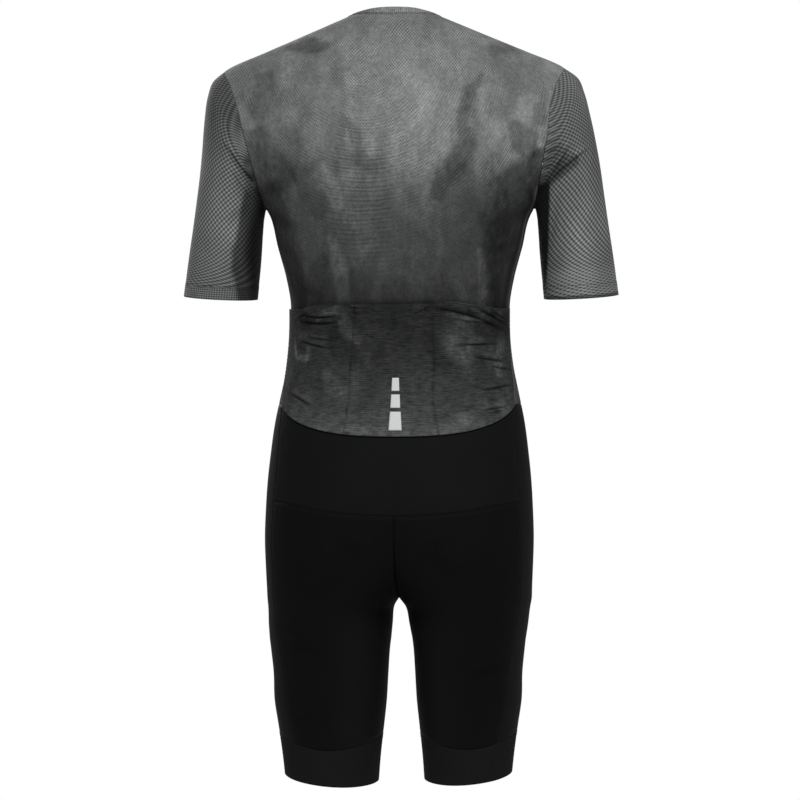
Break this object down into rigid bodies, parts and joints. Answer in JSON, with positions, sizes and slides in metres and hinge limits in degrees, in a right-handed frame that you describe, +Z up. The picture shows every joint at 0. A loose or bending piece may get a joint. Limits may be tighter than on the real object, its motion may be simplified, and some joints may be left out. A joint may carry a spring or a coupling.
{
  "type": "cycling skinsuit",
  "caption": "One-piece cycling skinsuit with short mesh sleeves, zipped front, low collar, back pockets and gripper leg bands, filled out as when worn.",
  "frame": {"origin": "middle of the neck opening, level with the tops of the shoulder seams, where the wearer's shoulders carry the suit", "axes": "+Z up, -Y the wearer's front, +X the wearer's left"},
  "size_m": [0.534, 0.2409, 0.9386],
  "materials": {
    "body_knit": "matte knit with a mottled grey print",
    "pocket_rib": "matte fine horizontal rib",
    "side_knit": "matte open knit",
    "sleeve_mesh": "matte relief mesh, light cells between dark lines",
    "collar_rib": "matte fine upright rib",
    "short_lycra": "smooth black stretch knit with a soft sheen",
    "leg_elastic": "matte black elastic",
    "zip_black": "matte moulded",
    "zip_metal": "satin gunmetal"
  },
  "bodies": {
    "suit": {"back_panel": "body_knit", "pocket_panel": "pocket_rib", "front_left": "body_knit", "front_right": "body_knit", "torso_side_left": "side_knit", "torso_side_right": "side_knit", "sleeve_left": "sleeve_mesh", "sleeve_right": "sleeve_mesh", "collar": "collar_rib", "seat_yoke": "short_lycra", "short_front_left": "short_lycra", "short_front_right": "short_lycra", "short_side_left": "short_lycra", "short_side_right": "short_lycra", "short_back_left": "short_lycra", "short_back_right": "short_lycra", "leg_band_left": "leg_elastic", "leg_band_right": "leg_elastic", "zip_chain": "zip_black", "zip_slider": "zip_metal"},
    "pull_tab": {"zip_pull": "zip_metal"}
  },
  "joints": [
    {"name": "pull_tab_hinge", "type": "hinge", "parent": "suit", "child": "pull_tab", "pos_m": [0, -0.06378, -0.0544], "axis": [-1, 0, 0], "range_deg": [0, 150]}
  ]
}
